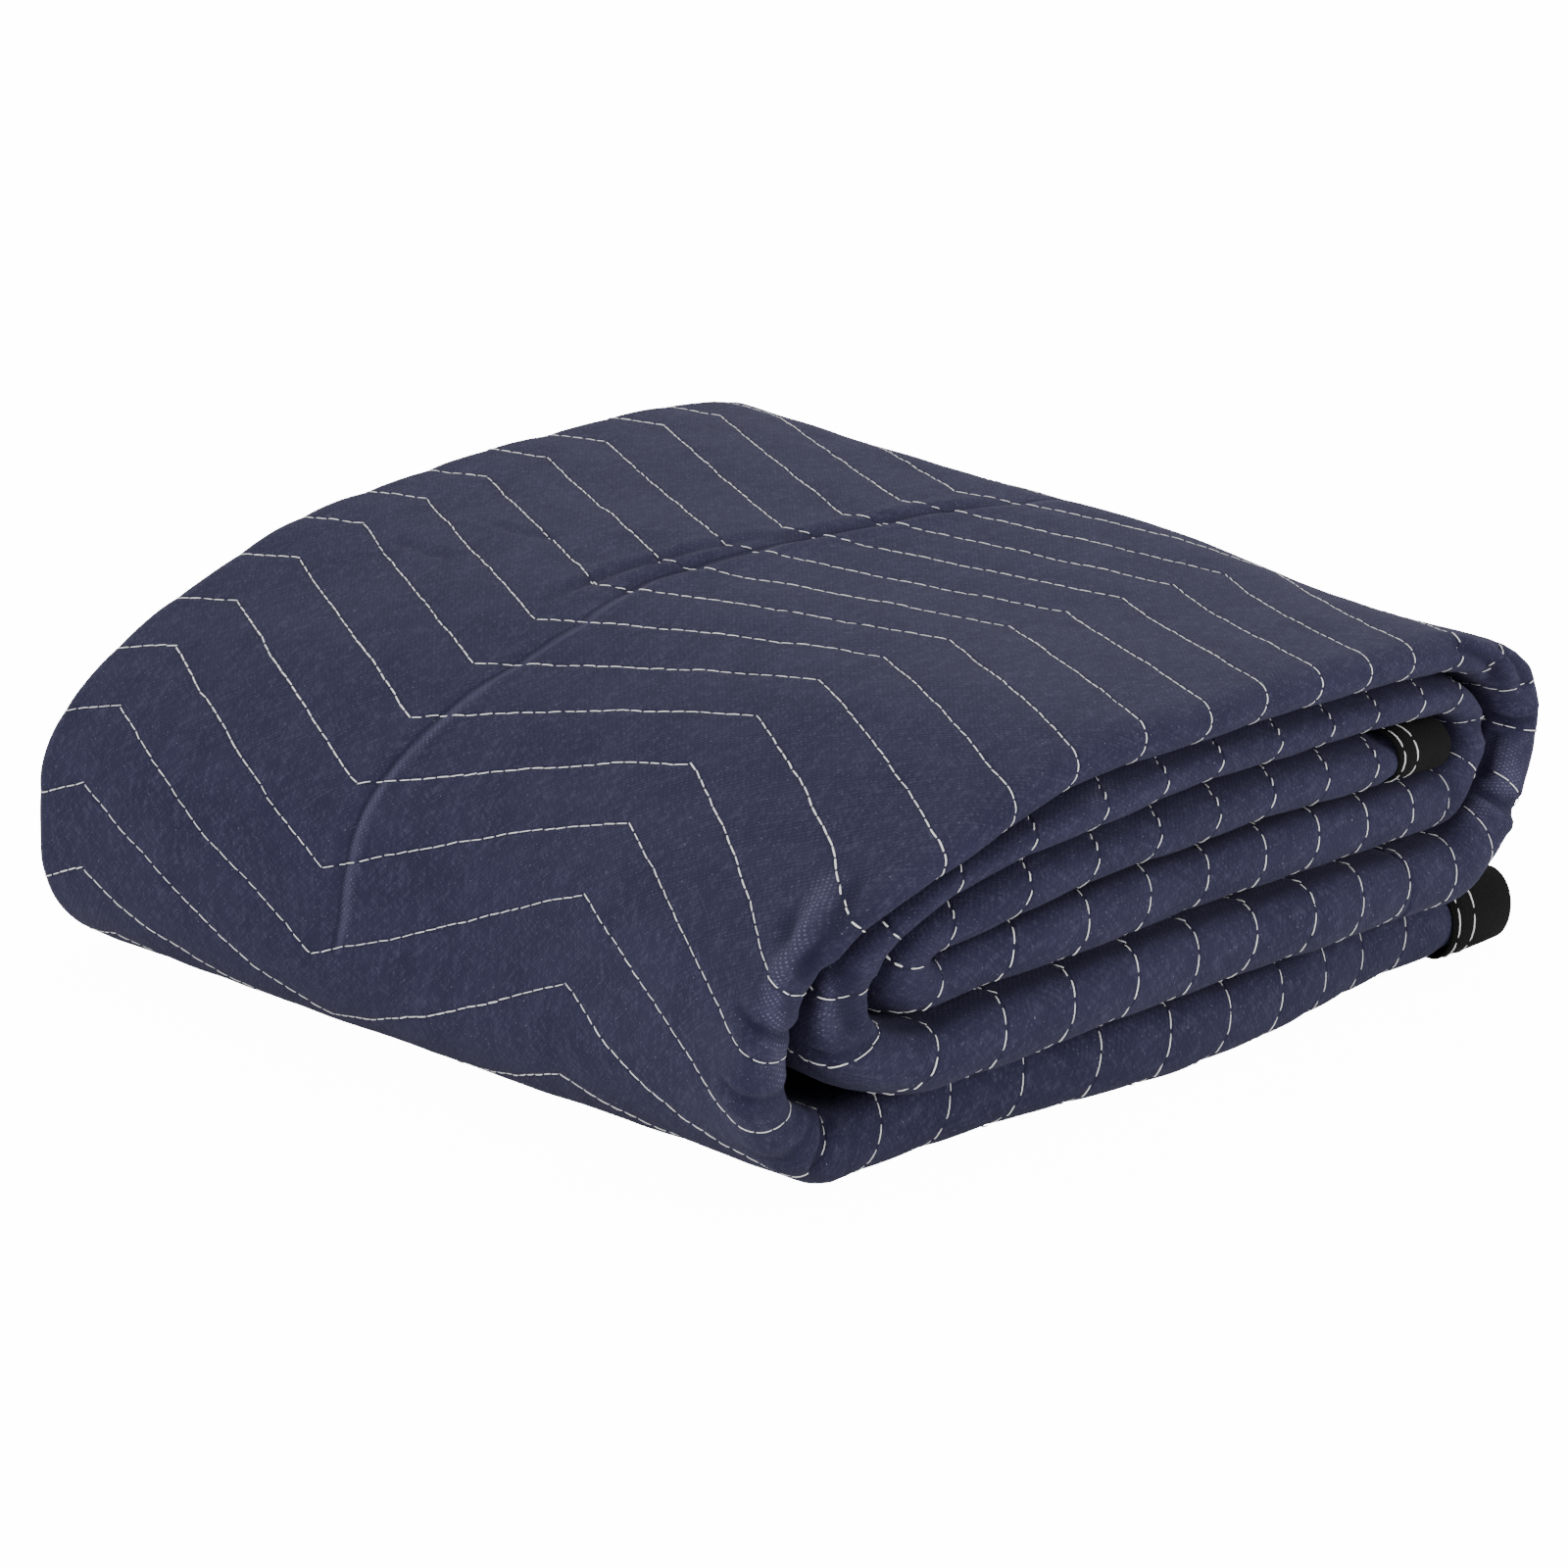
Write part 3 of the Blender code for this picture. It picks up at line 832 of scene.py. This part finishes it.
def binding(name, end):
    t = across(0.0007, 0.0009, 0.006, flat_step=0.012, spare=0.0)
    rows, places = [], []
    for reach, off in TAPE_OUTLINE:
        s = np.full(len(t), -reach if end == "outer" else LENGTH + reach)
        rows.append(folded(s, t, off + 0.00006 * waves(s, t, 0.020, 31)))
        places.append(np.stack([s, t, np.full(len(t), off)], 1))
    ids = np.arange(len(rows) * len(t)).reshape(len(rows), len(t))
    closed = np.concatenate([ids, ids[:1]])
    faces = quads(closed)
    faces += [ids[:, 0].tolist(), ids[::-1, -1].tolist()]
    return mesh_object(name, np.concatenate(rows), faces, [("cloth_place", np.concatenate(places))])


BINDING_STITCH = 0.0068
BINDING_GAP = 0.0008
BINDING_THREAD = 0.00028
BINDING_ROWS = (0.0255, 0.0185)


def binding_thread(name, end):
    t = np.arange(ROLL_START_T - 0.010, HIGH_FOLD_T + FOLD_ARC, BINDING_STITCH)
    rows = []
    for row, inward in enumerate(BINDING_ROWS):
        at = t + 0.3 * row * BINDING_STITCH
        s = np.full(len(at), inward) + 0.00025 * waves(at, at, 0.03, 41 + row)
        rows.append(np.stack([s if end == "outer" else LENGTH - s, at], 1))
    s, t = np.concatenate(rows).T
    count = len(s)
    size = np.full(count, BINDING_STITCH - BINDING_GAP), np.full(count, BINDING_THREAD)
    return stitches(name, s, t, 0.03 * rng.standard_normal(count), *size,
                    lambda s, t: np.full(np.shape(s), TAPE_OUTER))


tapes = {end: binding(f"binding_{end}_tape", end) for end in ("outer", "inner")}
tape_threads = {end: binding_thread(f"binding_{end}_thread", end) for end in ("outer", "inner")}
print("tapes", {k: len(o.data.polygons) for k, o in tapes.items()})

# %% [markdown]
# ## Materials
#
# The cloth is felted, not woven: short fibres lie in all directions, and a grid of tiny
# pressed points holds them together. Where the cloth is stretched, and at scattered
# places elsewhere, the points get a painted highlight. Each effect is a node group,
# built once: the tape's yarn uses the fibres too.

# %% Helpers for node groups
def new_group(name, inputs, outputs):
    group = bpy.data.node_groups.new(name, "ShaderNodeTree")
    for label, kind, value in inputs:
        socket = group.interface.new_socket(label, in_out="INPUT", socket_type=kind)
        if value is not None:
            socket.default_value = value
    for label, kind in outputs:
        group.interface.new_socket(label, in_out="OUTPUT", socket_type=kind)
    return group, group.nodes.new("NodeGroupInput"), group.nodes.new("NodeGroupOutput")


def node(tree, kind, links=(), **values):
    """A node with its settings, its input values and its incoming links."""
    made = tree.nodes.new(kind)
    for key, value in values.items():
        if key.startswith("in_"):
            made.inputs[int(key[3:])].default_value = value
        else:
            setattr(made, key, value)
    for index, socket in links:
        tree.links.new(socket, made.inputs[index])
    return made


def math_node(tree, operation, a, b=0.0, c=0.0):
    made = tree.nodes.new("ShaderNodeMath")
    made.operation = operation
    for index, value in enumerate((a, b, c)):
        if isinstance(value, (int, float)):
            made.inputs[index].default_value = value
        else:
            tree.links.new(value, made.inputs[index])
    return made.outputs[0]


# %% Group: felted fibres
def fibre_group():
    group, come, go = new_group(
        "felted fibres",
        [("Place", "NodeSocketVector", None), ("Fibre", "NodeSocketFloat", 0.0008)],
        [("Streaks", "NodeSocketFloat"), ("Mottle", "NodeSocketFloat")])
    rate = math_node(group, "DIVIDE", 1.0, come.outputs["Fibre"])
    total = None
    for turn, seed in ((0.5, 0.0), (1.35, 3.0), (2.3, 7.0)):
        turned = node(group, "ShaderNodeVectorRotate", [(0, come.outputs["Place"])],
                      rotation_type="Z_AXIS", in_3=turn)
        long = node(group, "ShaderNodeVectorMath", [(0, turned.outputs[0])],
                    operation="MULTIPLY", in_1=(1.0, 0.14, 1.0))
        streak = node(group, "ShaderNodeTexNoise", [(0, long.outputs[0]), (2, rate)],
                      noise_dimensions="4D", in_1=seed)
        streak.inputs["Detail"].default_value = 2.0
        total = streak.outputs[0] if total is None else math_node(group, "ADD", total, streak.outputs[0])
    group.links.new(math_node(group, "DIVIDE", total, 3.0), go.inputs["Streaks"])
    slow = math_node(group, "MULTIPLY", rate, 0.05)
    mottle = node(group, "ShaderNodeTexNoise", [(0, come.outputs["Place"]), (2, slow)])
    mottle.inputs["Detail"].default_value = 4.0
    group.links.new(mottle.outputs[0], go.inputs["Mottle"])
    return group


# %% Group: pressed points
def pressed_group():
    group, come, go = new_group(
        "pressed points",
        [("Place", "NodeSocketVector", None), ("Spacing", "NodeSocketFloat", 0.0013)],
        [("Points", "NodeSocketFloat")])
    rate = math_node(group, "DIVIDE", 1.0, come.outputs["Spacing"])
    turned = node(group, "ShaderNodeVectorRotate", [(0, come.outputs["Place"])],
                  rotation_type="Z_AXIS", in_3=math.radians(45))
    scaled = node(group, "ShaderNodeVectorMath", [(0, turned.outputs[0]), (3, rate)],
                  operation="SCALE")
    apart = node(group, "ShaderNodeSeparateXYZ", [(0, scaled.outputs[0])])
    squares = [math_node(group, "POWER", math_node(group, "PINGPONG", apart.outputs[k], 0.5), 2.0)
               for k in (0, 1)]
    reach = math_node(group, "SQRT", math_node(group, "ADD", *squares))
    spot = node(group, "ShaderNodeMapRange", [(0, reach)], interpolation_type="SMOOTHSTEP",
                in_1=0.15, in_2=0.31, in_3=1.0, in_4=0.0)
    group.links.new(spot.outputs[0], go.inputs["Points"])
    return group


FIBRES, PRESSED = fibre_group(), pressed_group()
print("groups", [g.name for g in bpy.data.node_groups])


# %% [markdown]
# ## The navy cloth
#
# The colour wanders a little between lighter worn fibres and darker felt, gets darker
# in the seams, where the thread pulls the cloth in, and has stray pale fibres. Painted
# shade darkens the creases, the grooves between the front folds and the middle of the
# long crease, and painted highlights make pressed points glint. Bump does the fibres,
# the pressed points and the fine puckers that run off each seam.

# %% Cloth material
def principled(name, colour, roughness, **constants):
    made = bpy.data.materials.new(name)
    made.use_nodes = True
    shader = made.node_tree.nodes["Principled BSDF"]
    shader.inputs["Base Color"].default_value = (*colour, 1.0)
    shader.inputs["Roughness"].default_value = roughness
    for label, value in constants.items():
        shader.inputs[label.replace("_", " ")].default_value = value
    return made, made.node_tree, shader


def mix_colour(tree, amount, a, b, blend="MIX"):
    made = tree.nodes.new("ShaderNodeMix")
    made.data_type, made.blend_type = "RGBA", blend
    for index, value in ((0, amount), (6, a), (7, b)):
        if isinstance(value, (int, float, tuple)):
            made.inputs[index].default_value = value
        else:
            tree.links.new(value, made.inputs[index])
    return made.outputs[2]


def ranged(tree, value, low, high, to_low=0.0, to_high=1.0):
    made = node(tree, "ShaderNodeMapRange", [(0, value)], interpolation_type="SMOOTHSTEP",
                in_1=low, in_2=high, in_3=to_low, in_4=to_high)
    return made.outputs[0]


# The darkest navy is also painted shade in creases and grooves, the palest also a painted highlight
# wash, and the brightest is painted glint on pressed points.
NAVY_DARK_AND_SHADE = (0.0110, 0.0106, 0.0270, 1.0)
NAVY = (0.0228, 0.0217, 0.0480, 1.0)
NAVY_WORN_AND_HIGHLIGHT = (0.0480, 0.0460, 0.0850, 1.0)
NAVY_PAINTED_GLINT = (0.150, 0.155, 0.230, 1.0)
LINT = (0.30, 0.31, 0.36, 1.0)
CLOTH_FIBRE, TAPE_FIBRE = 0.0009, 0.0007
POINT_SPACING = 0.00125
CLOTH_ROUGHNESS = 0.92


def cloth_material():
    made, tree, shader = principled(
        "navy_felted_cloth", NAVY[:3], CLOTH_ROUGHNESS,
        Sheen_Weight=0.04, Sheen_Roughness=0.5, Sheen_Tint=(0.70, 0.72, 1.0, 1.0),
        Specular_IOR_Level=0.12, Specular_Tint=(0.80, 0.80, 1.0, 1.0))
    place = node(tree, "ShaderNodeAttribute", attribute_name="cloth_place")
    split = node(tree, "ShaderNodeSeparateXYZ", [(0, place.outputs["Vector"])])
    # Per point: distance from the long crease, painted highlight and painted shade.
    wear_and_light = node(tree, "ShaderNodeAttribute", attribute_name="cloth_wear_and_light")
    signs = node(tree, "ShaderNodeSeparateXYZ", [(0, wear_and_light.outputs["Vector"])])
    flat = node(tree, "ShaderNodeCombineXYZ", [(0, split.outputs[0]), (1, split.outputs[1])])
    fibres = node(tree, "ShaderNodeGroup", node_tree=FIBRES)
    pressed = node(tree, "ShaderNodeGroup", node_tree=PRESSED)
    for group in (fibres, pressed):
        tree.links.new(flat.outputs[0], group.inputs["Place"])
    fibres.inputs["Fibre"].default_value = CLOTH_FIBRE
    pressed.inputs["Spacing"].default_value = POINT_SPACING
    streaks, mottle = fibres.outputs["Streaks"], fibres.outputs["Mottle"]
    points, painted_stretch_highlight = pressed.outputs["Points"], signs.outputs[1]
    seam = math_node(tree, "PINGPONG", split.outputs[2], 0.5)
    in_seam = ranged(tree, seam, 0.0, 0.050, 1.0, 0.0)
    beside = ranged(tree, seam, 0.02, 0.24, 1.0, 0.0)
    off = math_node(tree, "ABSOLUTE", signs.outputs[0])
    pale_beside_crease = ranged(tree, math_node(tree, "ABSOLUTE", math_node(tree, "ADD", signs.outputs[0], 0.0024)),
                    0.0004, 0.0016, 1.0, 0.0)
    # The middle of the long crease: a trough in the bump and painted shade in the colour.
    crease_trough_and_shade = ranged(tree, off, 0.0003, 0.0012, 1.0, 0.0)

    colour = mix_colour(tree, ranged(tree, mottle, 0.30, 0.70, 0.58, 0.95), NAVY_DARK_AND_SHADE, NAVY)
    colour = mix_colour(tree, ranged(tree, streaks, 0.46, 0.66, 0.0, 0.7), colour, NAVY_WORN_AND_HIGHLIGHT)
    plain_points = math_node(tree, "MULTIPLY", points, 0.42)
    colour = mix_colour(tree, plain_points, colour, NAVY_DARK_AND_SHADE)
    patchy = node(tree, "ShaderNodeTexNoise", [(0, flat.outputs[0])], in_2=420.0)
    # Painted glints: scattered pressed points drawn bright, as if catching light.
    scattered_painted_glint = math_node(tree, "MULTIPLY", points, ranged(tree, patchy.outputs[0], 0.54, 0.70, 0.0, 0.22))
    colour = mix_colour(tree, scattered_painted_glint, colour, NAVY_PAINTED_GLINT)
    # Painted highlight: a paler wash on the stretched lines.
    colour = mix_colour(tree, math_node(tree, "MULTIPLY", painted_stretch_highlight, 0.6), colour, NAVY_WORN_AND_HIGHLIGHT)
    uneven = ranged(tree, patchy.outputs[0], 0.36, 0.58, 0.15, 0.75)
    # More painted glints on the pressed points of the stretched lines.
    stretch_painted_glint = math_node(tree, "MULTIPLY", math_node(tree, "MULTIPLY", points, painted_stretch_highlight), uneven)
    colour = mix_colour(tree, stretch_painted_glint, colour, NAVY_PAINTED_GLINT)
    # Painted shade in creases and in the grooves between the front folds.
    colour = mix_colour(tree, math_node(tree, "MULTIPLY", signs.outputs[2], 0.80), colour, NAVY_DARK_AND_SHADE)
    colour = mix_colour(tree, math_node(tree, "MULTIPLY", in_seam, 0.5), colour, NAVY_DARK_AND_SHADE)
    # A paler band along one side of the long crease.
    colour = mix_colour(tree, math_node(tree, "MULTIPLY", pale_beside_crease, 0.60), colour, NAVY_WORN_AND_HIGHLIGHT)
    # Painted shade along the middle of the long crease.
    colour = mix_colour(tree, math_node(tree, "MULTIPLY", crease_trough_and_shade, 0.6), colour, NAVY_DARK_AND_SHADE)
    specks = node(tree, "ShaderNodeTexNoise", [(0, flat.outputs[0])], in_2=1400.0)
    specks.inputs["Detail"].default_value = 1.0
    lint = ranged(tree, specks.outputs[0], 0.72, 0.80, 0.0, 0.5)
    colour = mix_colour(tree, lint, colour, LINT)
    tree.links.new(colour, shader.inputs["Base Color"])
    rough = math_node(tree, "SUBTRACT", CLOTH_ROUGHNESS, math_node(tree, "MULTIPLY", points, 0.30))
    tree.links.new(rough, shader.inputs["Roughness"])

    drawn = node(tree, "ShaderNodeVectorMath", [(0, flat.outputs[0])],
                 operation="MULTIPLY", in_1=(90.0, 420.0, 1.0))
    puckers = node(tree, "ShaderNodeTexNoise", [(0, drawn.outputs[0])], in_2=1.0)
    puckers.inputs["Detail"].default_value = 1.5
    height = math_node(tree, "MULTIPLY", math_node(tree, "MULTIPLY", puckers.outputs[0], beside), 0.7)
    height = math_node(tree, "SUBTRACT", height, math_node(tree, "MULTIPLY", in_seam, 0.9))
    height = math_node(tree, "SUBTRACT", height, math_node(tree, "MULTIPLY", crease_trough_and_shade, 0.8))
    coarse = node(tree, "ShaderNodeBump", in_0=0.6, in_1=0.0006)
    tree.links.new(height, coarse.inputs["Height"])
    fine = math_node(tree, "SUBTRACT", streaks, math_node(tree, "MULTIPLY", points, 0.45))
    bump = node(tree, "ShaderNodeBump", in_0=0.8, in_1=0.00035)
    tree.links.new(fine, bump.inputs["Height"])
    tree.links.new(coarse.outputs[0], bump.inputs["Normal"])
    tree.links.new(bump.outputs[0], shader.inputs["Normal"])
    return made


CLOTH_FINISH = cloth_material()
cloth.data.materials.append(CLOTH_FINISH)

# %% [markdown]
# ## Tape and thread
#
# The tape is a tight plain weave of black yarn: two sets of ribs cross at right angles,
# so their height is the product of two waves, with the same loose fibres as the cloth
# over them. The thread is two plies twisted together, which shows as slanted stripes.

# %% Tape and thread materials
TAPE = (0.006, 0.006, 0.006)
TAPE_DEEP = (0.002, 0.002, 0.002, 1.0)
TAPE_RIB = (0.008, 0.008, 0.008, 1.0)
TAPE_RIBS = ((0, 0.0011), (1, 0.0009))
WHITE_THREAD = (0.88, 0.88, 0.86)
THREAD_DEEP = (0.68, 0.68, 0.70, 1.0)
THREAD_PLY = (0.92, 0.92, 0.90, 1.0)
THREAD_TWIST = 0.0012


def tape_material():
    made, tree, shader = principled(
        "black_woven_tape", TAPE, 0.9,
        Sheen_Weight=0.01, Sheen_Roughness=0.5, Specular_IOR_Level=0.08)
    place = node(tree, "ShaderNodeAttribute", attribute_name="cloth_place")
    split = node(tree, "ShaderNodeSeparateXYZ", [(0, place.outputs["Vector"])])
    ribs = [math_node(tree, "SINE", math_node(tree, "MULTIPLY", split.outputs[k], math.tau / size))
            for k, size in TAPE_RIBS]
    weave = math_node(tree, "MULTIPLY", *ribs)
    fibres = node(tree, "ShaderNodeGroup", node_tree=FIBRES)
    fibres.inputs["Fibre"].default_value = TAPE_FIBRE
    tree.links.new(place.outputs["Vector"], fibres.inputs["Place"])
    fuzz = math_node(tree, "MULTIPLY", fibres.outputs["Streaks"], 0.6)
    lift = ranged(tree, math_node(tree, "ADD", weave, fuzz), -0.8, 1.4)
    colour = mix_colour(tree, lift, TAPE_DEEP, TAPE_RIB)
    tree.links.new(colour, shader.inputs["Base Color"])
    bump = node(tree, "ShaderNodeBump", in_0=0.7, in_1=0.0003)
    tree.links.new(lift, bump.inputs["Height"])
    tree.links.new(bump.outputs[0], shader.inputs["Normal"])
    return made


def thread_material():
    made, tree, shader = principled(
        "white_sewing_thread", WHITE_THREAD, 0.55,
        Sheen_Weight=0.3, Specular_IOR_Level=0.5)
    place = node(tree, "ShaderNodeAttribute", attribute_name="thread_place")
    split = node(tree, "ShaderNodeSeparateXYZ", [(0, place.outputs["Vector"])])
    along = math_node(tree, "MULTIPLY", split.outputs[0], math.tau / THREAD_TWIST)
    slant = math_node(tree, "ADD", along, split.outputs[1])
    twist = ranged(tree, math_node(tree, "SINE", math_node(tree, "MULTIPLY", slant, 2.0)), -1.0, 0.4)
    colour = mix_colour(tree, twist, THREAD_DEEP, THREAD_PLY)
    tree.links.new(colour, shader.inputs["Base Color"])
    bump = node(tree, "ShaderNodeBump", in_0=0.6, in_1=0.00015)
    tree.links.new(twist, bump.inputs["Height"])
    tree.links.new(bump.outputs[0], shader.inputs["Normal"])
    return made


TAPE_FINISH, THREAD_FINISH = tape_material(), thread_material()
for piece in tapes.values():
    piece.data.materials.append(TAPE_FINISH)
for piece in (outer_thread, layer_thread, *tape_threads.values()):
    piece.data.materials.append(THREAD_FINISH)
print("materials", [m.name for m in bpy.data.materials])

# %% [markdown]
# ## Put the pieces in place
#
# The pieces take the places of the plain solids and ride on the one body.

# %% Ride and replace
threads = [outer_thread, layer_thread]
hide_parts("blanket")
for end, tape in tapes.items():
    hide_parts(f"binding_{end}")
for piece in (cloth, *threads, *tapes.values(), *tape_threads.values()):
    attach(piece, "root")

# %% [markdown]
# ## Floor, light and camera
#
# The photo shows the blanket on plain white, lit softly from above and in front. A wide
# floor, a bright sky and three soft lamps do that. The camera's place and lens come
# from the photo's own perspective, read from the even zigzag.

# %% Floor
FLOOR_REACH = 6.0
FLOOR_BELOW = 0.0003
FLOOR_GLOW = 14.0


def floor_piece():
    mesh = bpy.data.meshes.new("floor")
    corners = [(x * FLOOR_REACH, y * FLOOR_REACH, 0) for x, y in ((-1, -1), (1, -1), (1, 1), (-1, 1))]
    mesh.from_pydata(corners, [], [(0, 1, 2, 3)])
    made = bpy.data.objects.new("floor", mesh)
    made.location.z = -FLOOR_BELOW
    bpy.context.scene.collection.objects.link(made)
    finish, tree, shader = principled("pale_floor", (0.90, 0.90, 0.90), 0.9, Specular_IOR_Level=0.1)
    shader.inputs["Emission Color"].default_value = (1.0, 1.0, 1.0, 1.0)
    seen = node(tree, "ShaderNodeLightPath")
    glow = math_node(tree, "MULTIPLY", seen.outputs["Is Camera Ray"], FLOOR_GLOW)
    tree.links.new(glow, shader.inputs["Emission Strength"])
    mesh.materials.append(finish)


floor_piece()
print("floor", 2 * FLOOR_REACH, "m wide")

# %% Light
SKY_LIGHT, SKY_SEEN = 1.02, 16.0
LAMP_AIM = (0.0, 0.0, 0.05)
LAMP_COLUMNS = ("name", "place", "size", "power")
LAMPS = (
    ("lamp_above", (0.5, 0.9, 1.9), 1.2, 12.0),
    ("lamp_left", (-1.9, -0.5, 0.3), 0.9, 23.0),
    ("lamp_front", (0.9, -1.7, 0.5), 0.9, 22.0),
)


def soft_lamp(name, place, size, power):
    lamp = bpy.data.lights.new(name, "AREA")
    lamp.shape, lamp.size, lamp.energy = "DISK", size, power
    made = bpy.data.objects.new(name, lamp)
    made.location = place
    way = np.array(LAMP_AIM) - np.array(place)
    made.rotation_euler = (
        math.atan2(math.hypot(way[0], way[1]), -way[2]), 0.0, math.atan2(way[1], way[0]) - math.pi / 2)
    bpy.context.scene.collection.objects.link(made)


def white_sky(strength, seen_strength):
    sky = bpy.data.worlds.new("sky")
    sky.use_nodes = True
    tree = sky.node_tree
    back = tree.nodes["Background"]
    back.inputs["Color"].default_value = (1.0, 1.0, 1.0, 1.0)
    seen = node(tree, "ShaderNodeLightPath")
    more = math_node(tree, "MULTIPLY", seen.outputs["Is Camera Ray"], seen_strength - strength)
    tree.links.new(math_node(tree, "ADD", more, strength), back.inputs["Strength"])
    bpy.context.scene.world = sky


white_sky(SKY_LIGHT, SKY_SEEN)
for lamp_row in LAMPS:
    soft_lamp(*lamp_row)
print("lamps", [row[0] for row in LAMPS])

# %% Camera
CAMERA_SEEN_FROM = (-0.97627, -0.94562, 0.47038)
CAMERA_TURN = math.radians(45.769)
CAMERA_DOWN = math.radians(17.043)
CAMERA_SENSOR, CAMERA_LENS = 36.0, 110.97
camera = bpy.data.objects.new("camera", bpy.data.cameras.new("camera"))
camera.data.sensor_width = CAMERA_SENSOR
camera.data.lens = CAMERA_LENS
camera.location = CAMERA_SEEN_FROM
camera.rotation_euler = (math.pi / 2 - CAMERA_DOWN, 0.0, -CAMERA_TURN)
bpy.context.scene.collection.objects.link(camera)
bpy.context.scene.camera = camera
print("camera at", CAMERA_SEEN_FROM, "with a lens of", CAMERA_LENS, "mm")
